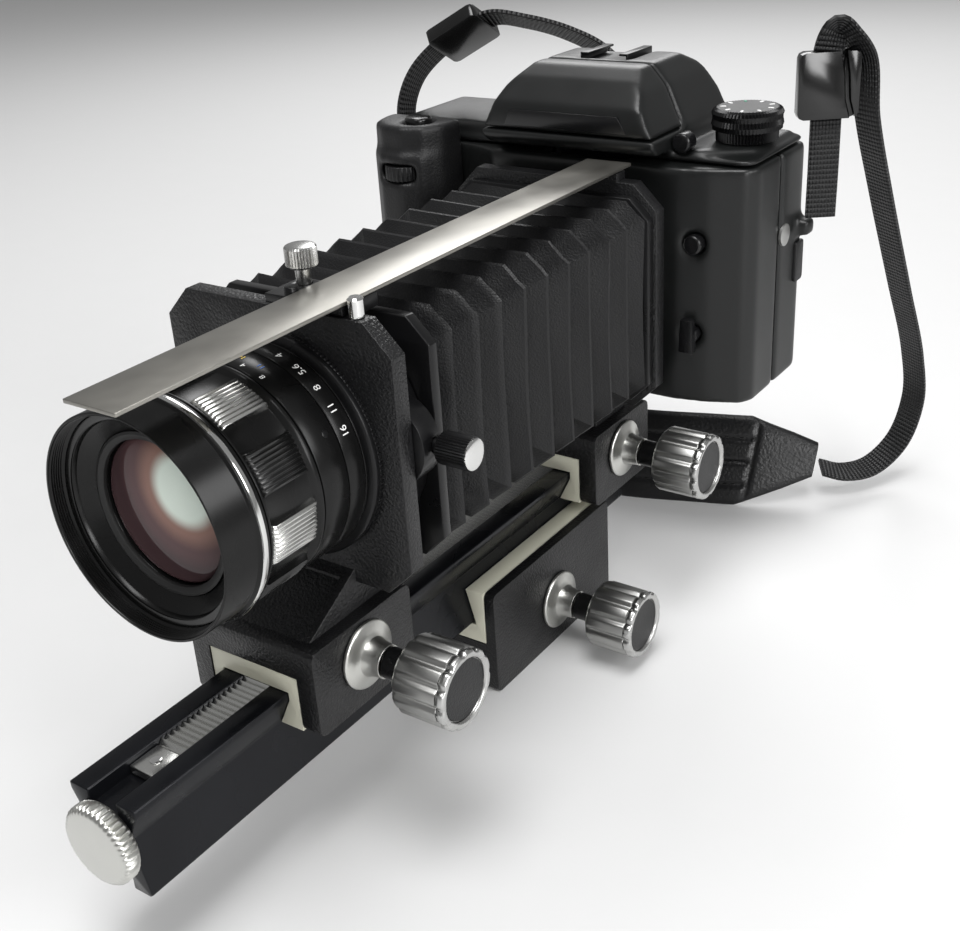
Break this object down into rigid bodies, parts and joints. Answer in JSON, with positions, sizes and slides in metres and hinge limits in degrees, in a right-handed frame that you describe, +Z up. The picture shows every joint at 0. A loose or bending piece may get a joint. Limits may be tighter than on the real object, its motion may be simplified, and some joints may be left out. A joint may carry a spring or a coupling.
{
  "type": "macro bellows unit with camera",
  "caption": "Macro bellows on a geared dovetail rail with a short telephoto lens in front and a digital reflex camera with neck strap behind.",
  "frame": {"origin": "centre of the underside of the tripod block", "axes": "+X towards the focusing knobs, +Y back along the optical axis towards the camera, +Z up"},
  "size_m": [0.1829, 0.3684, 0.2047],
  "materials": {
    "enamel": "crinkle black enamel",
    "nylon": "cream nylon",
    "anodised": "satin black",
    "steel": "bright",
    "satin_aluminium": "satin",
    "lens_black": "gloss black",
    "glass": "coated",
    "leatherette": "grained black bellows cloth",
    "body_plastic": "fine black texture",
    "rubber": "pebbled",
    "mirror": "front silvered",
    "sensor": "filter glass over a chip",
    "screen": "gloss black window",
    "webbing": "ribbed nylon",
    "buckle_plastic": "gloss black",
    "leather": "grained black"
  },
  "bodies": {
    "block": {"tripod_block": "enamel", "tripod_liner": "nylon", "tripod_escutcheon": "satin_aluminium"},
    "tripod_drive": {"tripod_pinion": "steel", "tripod_knob": "satin_aluminium"},
    "rail": {"rail": "anodised", "upper_rack": "steel", "lower_rack": "steel", "rack_stop": "steel", "bellows_skin": "leatherette"},
    "end_knob": {"rail_end_knob": "steel"},
    "front": {"front_standard": "enamel", "front_liner": "nylon", "front_escutcheon": "satin_aluminium", "turning_ring": "enamel", "bellows_front_frame": "enamel", "scale_clamp": "steel", "lens_mount_ring": "anodised", "lens_barrel": "lens_black", "rear_glass": "glass"},
    "front_drive": {"front_pinion": "steel", "front_knob": "satin_aluminium"},
    "bellows_lock": {"bellows_lock_screw": "steel"},
    "scale_lock": {"scale_thumb_screw": "steel"},
    "aperture": {"aperture_ring": "lens_black"},
    "focus": {"focus_ring": "lens_black"},
    "lens_front": {"lens_front_barrel": "lens_black", "front_glass": "glass"},
    "rear": {"rear_standard": "enamel", "rear_liner": "nylon", "rear_escutcheon": "satin_aluminium", "bellows_rear_frame": "enamel", "camera_mount_ring": "anodised", "scale_plate": "steel", "body_front_shell": "body_plastic", "body_back_shell": "body_plastic", "body_top_cover": "body_plastic", "grip": "rubber", "body_mount_ring": "steel", "mirror_box": "body_plastic", "pentaprism": "glass", "image_sensor": "sensor", "hot_shoe": "steel", "lcd_window": "screen", "eyecup": "rubber", "strap_right_webbing": "webbing", "strap_left_webbing": "webbing", "strap_right_buckle": "buckle_plastic", "strap_left_buckle": "buckle_plastic", "strap_pad": "leather"},
    "rear_drive": {"rear_pinion": "steel", "rear_knob": "satin_aluminium"},
    "mirror": {"mirror": "mirror"},
    "flash": {"flash_head": "body_plastic"},
    "mode": {"mode_dial": "body_plastic"},
    "shutter": {"shutter_button": "body_plastic"},
    "control_wheel": {"front_dial": "body_plastic"},
    "flash_key": {"flash_button": "body_plastic"},
    "format_key": {"raw_button": "body_plastic"},
    "focus_lever": {"af_lever": "body_plastic"}
  },
  "joints": [
    {"name": "rail_slide", "type": "slide", "parent": "block", "child": "rail", "axis": [0, 1, 0], "range_m": [-0.02, 0.1]},
    {"name": "tripod_drive_turn", "type": "hinge", "parent": "block", "child": "tripod_drive", "pos_m": [0.0205, 0.0015, 0.0161], "axis": [1, 0, 0], "range_deg": [-560, 120]},
    {"name": "end_knob_turn", "type": "hinge", "parent": "rail", "child": "end_knob", "pos_m": [0.0012, -0.1833, 0.042], "axis": [0, 1, 0], "continuous": true},
    {"name": "front_slide", "type": "slide", "parent": "rail", "child": "front", "axis": [0, 1, 0], "range_m": [-0.035, 0.045], "deforming": ["bellows_skin"]},
    {"name": "front_drive_turn", "type": "hinge", "parent": "front", "child": "front_drive", "pos_m": [0.0235, -0.1052, 0.05831], "axis": [1, 0, 0], "range_deg": [-490, 380]},
    {"name": "bellows_lock_turn", "type": "hinge", "parent": "front", "child": "bellows_lock", "pos_m": [0.045, -0.0896, 0.1215], "axis": [1, 0, 0], "continuous": true},
    {"name": "scale_lock_turn", "type": "hinge", "parent": "front", "child": "scale_lock", "pos_m": [0.0026, -0.0896, 0.166], "axis": [0, 0, 1], "continuous": true},
    {"name": "aperture_turn", "type": "hinge", "parent": "front", "child": "aperture", "pos_m": [0, -0.108, 0.118], "axis": [0, 1, 0], "range_deg": [-62, 0]},
    {"name": "focus_turn", "type": "hinge", "parent": "front", "child": "focus", "pos_m": [0, -0.131, 0.118], "axis": [0, 1, 0], "range_deg": [0, 200]},
    {"name": "lens_front_slide", "type": "slide", "parent": "front", "child": "lens_front", "axis": [0, 1, 0], "range_m": [-0.0095, 0]},
    {"name": "rear_slide", "type": "slide", "parent": "rail", "child": "rear", "axis": [0, 1, 0], "range_m": [-0.008, 0], "deforming": ["bellows_skin"]},
    {"name": "rear_drive_turn", "type": "hinge", "parent": "rear", "child": "rear_drive", "pos_m": [0.0235, 0.0444, 0.05831], "axis": [1, 0, 0], "range_deg": [-5, 90]},
    {"name": "mirror_flip", "type": "hinge", "parent": "rear", "child": "mirror", "pos_m": [0, 0.0834, 0.1346], "axis": [1, 0, 0], "range_deg": [-43.5, 0]},
    {"name": "flash_raise", "type": "hinge", "parent": "rear", "child": "flash", "pos_m": [0, 0.071, 0.1903], "axis": [1, 0, 0], "range_deg": [-70, 0]},
    {"name": "mode_dial_turn", "type": "hinge", "parent": "rear", "child": "mode", "pos_m": [0.0516, 0.082, 0.17], "axis": [0, 0, 1], "continuous": true},
    {"name": "shutter_press", "type": "slide", "parent": "rear", "child": "shutter", "axis": [0, 0, 1], "range_m": [-0.0014, 0], "stiffness_N_per_m": 600},
    {"name": "control_wheel_turn", "type": "hinge", "parent": "rear", "child": "control_wheel", "pos_m": [-0.0664, 0.0434, 0.152], "axis": [0, 0, 1], "continuous": true},
    {"name": "flash_key_press", "type": "slide", "parent": "rear", "child": "flash_key", "axis": [0, 1, 0], "range_m": [0, 0.0012], "stiffness_N_per_m": 500},
    {"name": "format_key_press", "type": "slide", "parent": "rear", "child": "format_key", "axis": [0, 1, 0], "range_m": [0, 0.0012], "stiffness_N_per_m": 500},
    {"name": "focus_lever_turn", "type": "hinge", "parent": "rear", "child": "focus_lever", "pos_m": [0.0446, 0.056, 0.102], "axis": [0, 1, 0], "range_deg": [-25, 25]}
  ],
  "couplings": [
    {"joint": "tripod_drive_turn", "follows": "rail_slide", "rad_per_m": -95.2},
    {"joint": "front_drive_turn", "follows": "front_slide", "rad_per_m": -184.8},
    {"joint": "rear_drive_turn", "follows": "rear_slide", "rad_per_m": -184.8},
    {"joint": "lens_front_slide", "follows": "focus_turn", "m_per_rad": -0.0026}
  ]
}
